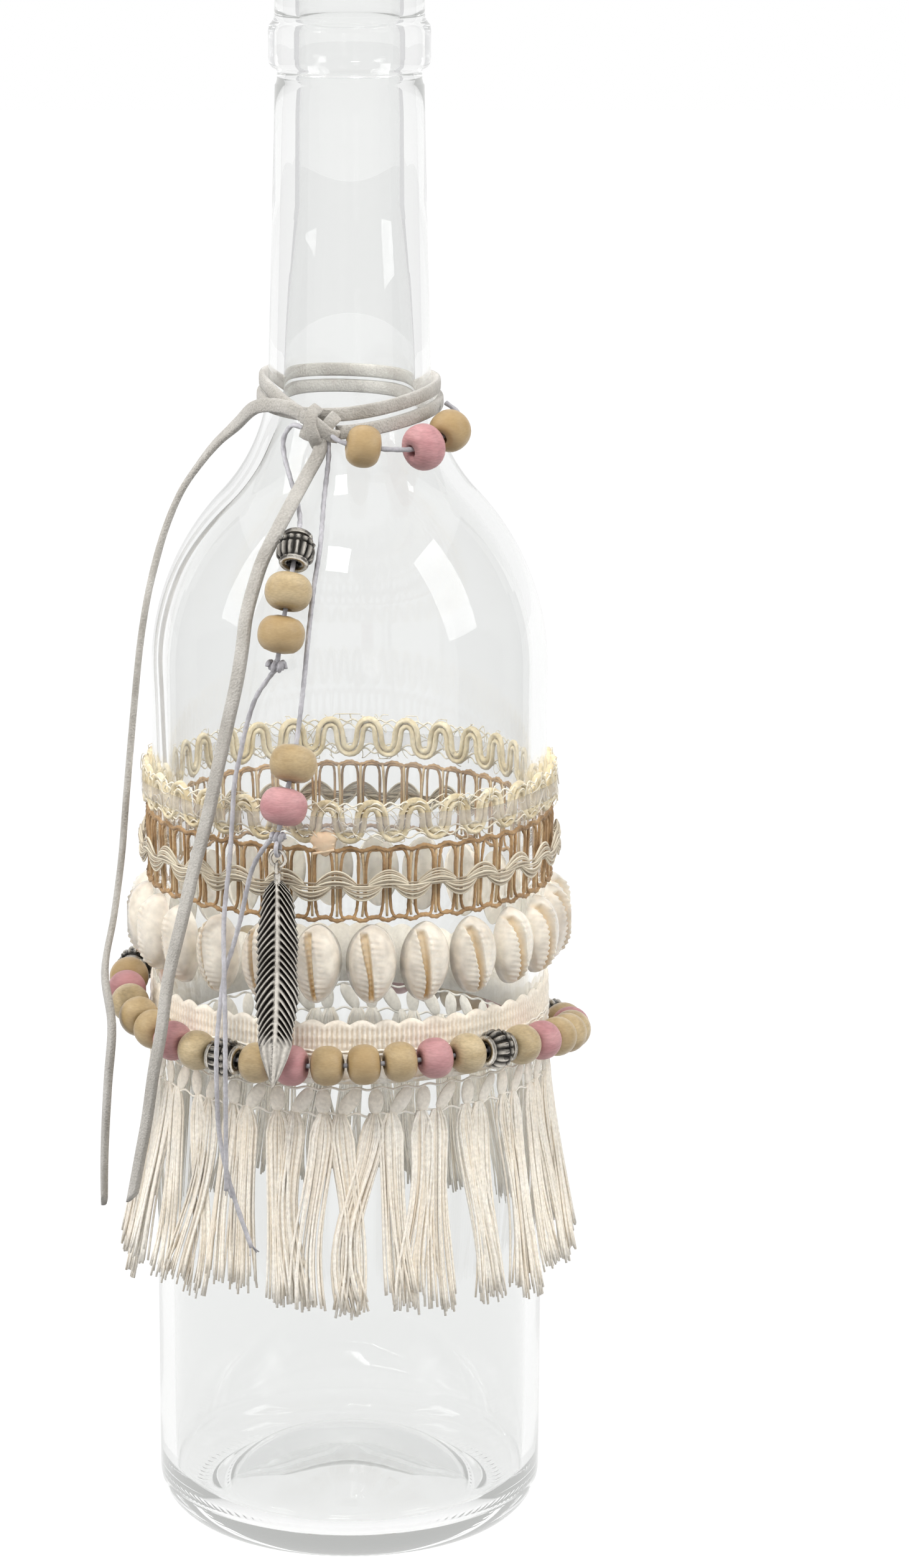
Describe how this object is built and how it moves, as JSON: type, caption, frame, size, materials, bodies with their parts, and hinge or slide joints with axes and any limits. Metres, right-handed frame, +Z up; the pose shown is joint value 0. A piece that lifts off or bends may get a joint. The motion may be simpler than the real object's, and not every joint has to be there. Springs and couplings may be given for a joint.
{
  "type": "decorated glass bottle",
  "caption": "Empty clear glass bottle with round shoulder and slim neck, dressed with braids, cowrie shells, a cotton fringe, a ring of beads and a knotted suede lace with bead drops.",
  "frame": {"origin": "centre of the ring that the bottle stands on", "axes": "+Z up along the bottle's axis; -Y towards the viewer of the picture, where the lace is knotted; +X to the viewer's right"},
  "size_m": [0.0948, 0.0947, 0.3],
  "materials": {
    "glass": "clear polished",
    "cream_cord": "matt, slightly shiny thread",
    "jute": "matt, rough",
    "taupe_braid": "matt",
    "shell": "polished natural shell",
    "cotton": "matt",
    "pale_wood": "satin",
    "pink_bead": "satin",
    "antique_metal": "aged, dark in the recesses",
    "suede": "matt nap",
    "waxed_cord": "satin"
  },
  "bodies": {
    "bottle": {"bottle": "glass", "wave_braid": "cream_cord", "ladder_braid": "jute", "loop_braid": "taupe_braid", "braid_join": "jute", "shell_01": "shell", "shell_02": "shell", "shell_03": "shell", "shell_04": "shell", "shell_05": "shell", "shell_06": "shell", "shell_07": "shell", "shell_08": "shell", "shell_09": "shell", "shell_10": "shell", "shell_11": "shell", "shell_12": "shell", "shell_13": "shell", "shell_14": "shell", "shell_15": "shell", "shell_16": "shell", "shell_17": "shell", "shell_18": "shell", "shell_19": "shell", "shell_20": "shell", "shell_21": "shell", "shell_22": "shell", "shell_23": "shell", "shell_24": "shell", "fringe_header": "cotton", "fringe_tassels": "cotton"},
    "bead_ring": {"ring_string": "waxed_cord", "ring_beads_wood": "pale_wood", "ring_beads_pink": "pink_bead", "ring_beads_metal": "antique_metal"},
    "neck_tie": {"neck_lace": "suede", "lace_knot": "suede", "lace_tail_left": "suede", "lace_tail_front": "suede", "neck_cord": "waxed_cord", "drop_1_cord": "waxed_cord", "drop_1_knot": "waxed_cord", "drop_2_cord": "waxed_cord", "drop_2_knot": "waxed_cord", "drop_2_tail": "waxed_cord"},
    "feather_charm": {"bail_ring": "antique_metal", "feather": "antique_metal"},
    "neck_bead_wood_1": {"neck_bead_wood_1": "pale_wood"},
    "neck_bead_pink": {"neck_bead_pink": "pink_bead"},
    "neck_bead_wood_2": {"neck_bead_wood_2": "pale_wood"},
    "drop_1_bead_metal": {"drop_1_bead_metal": "antique_metal"},
    "drop_1_bead_wood_1": {"drop_1_bead_wood_1": "pale_wood"},
    "drop_1_bead_wood_2": {"drop_1_bead_wood_2": "pale_wood"},
    "drop_2_bead_wood": {"drop_2_bead_wood": "pale_wood"},
    "drop_2_bead_pink": {"drop_2_bead_pink": "pink_bead"}
  },
  "joints": [
    {"name": "bead_ring_turn", "type": "hinge", "parent": "bottle", "child": "bead_ring", "pos_m": [0, 0, 0.1015], "axis": [0, 0, 1], "continuous": true},
    {"name": "neck_tie_turn", "type": "hinge", "parent": "bottle", "child": "neck_tie", "pos_m": [0, 0, 0.22], "axis": [0, 0, 1], "continuous": true},
    {"name": "neck_bead_wood_1_turn", "type": "hinge", "parent": "neck_tie", "child": "neck_bead_wood_1", "pos_m": [0.0025, -0.0223, 0.2133], "axis": [0.9869, 0.0637, -0.1486], "continuous": true},
    {"name": "neck_bead_pink_turn", "type": "hinge", "parent": "neck_tie", "child": "neck_bead_pink", "pos_m": [0.0135, -0.0182, 0.2126], "axis": [0.7536, 0.6377, 0.1594], "continuous": true},
    {"name": "neck_bead_wood_2_turn", "type": "hinge", "parent": "neck_tie", "child": "neck_bead_wood_2", "pos_m": [0.0184, -0.0126, 0.2148], "axis": [0.5165, 0.7863, 0.3392], "continuous": true},
    {"name": "drop_1_bead_metal_turn", "type": "hinge", "parent": "neck_tie", "child": "drop_1_bead_metal", "pos_m": [-0.0097, -0.0323, 0.196], "axis": [-0.1308, -0.6607, -0.7392], "continuous": true},
    {"name": "drop_1_bead_wood_1_turn", "type": "hinge", "parent": "neck_tie", "child": "drop_1_bead_wood_1", "pos_m": [-0.011, -0.0366, 0.1892], "axis": [-0.1642, -0.4106, -0.8969], "continuous": true},
    {"name": "drop_1_bead_wood_2_turn", "type": "hinge", "parent": "neck_tie", "child": "drop_1_bead_wood_2", "pos_m": [-0.0123, -0.0388, 0.1818], "axis": [-0.1622, -0.1622, -0.9733], "continuous": true},
    {"name": "drop_2_bead_wood_turn", "type": "hinge", "parent": "neck_tie", "child": "drop_2_bead_wood", "pos_m": [-0.0102, -0.0412, 0.1586], "axis": [-0.1817, -0.3231, -0.9288], "continuous": true},
    {"name": "drop_2_bead_pink_turn", "type": "hinge", "parent": "neck_tie", "child": "drop_2_bead_pink", "pos_m": [-0.0119, -0.0436, 0.1512], "axis": [-0.2104, -0.2104, -0.9547], "continuous": true},
    {"name": "feather_swing", "type": "hinge", "parent": "neck_tie", "child": "feather_charm", "pos_m": [-0.013, -0.0436, 0.1434], "axis": [-0.9583, 0.2857, 0], "range_deg": [0, 60]}
  ]
}
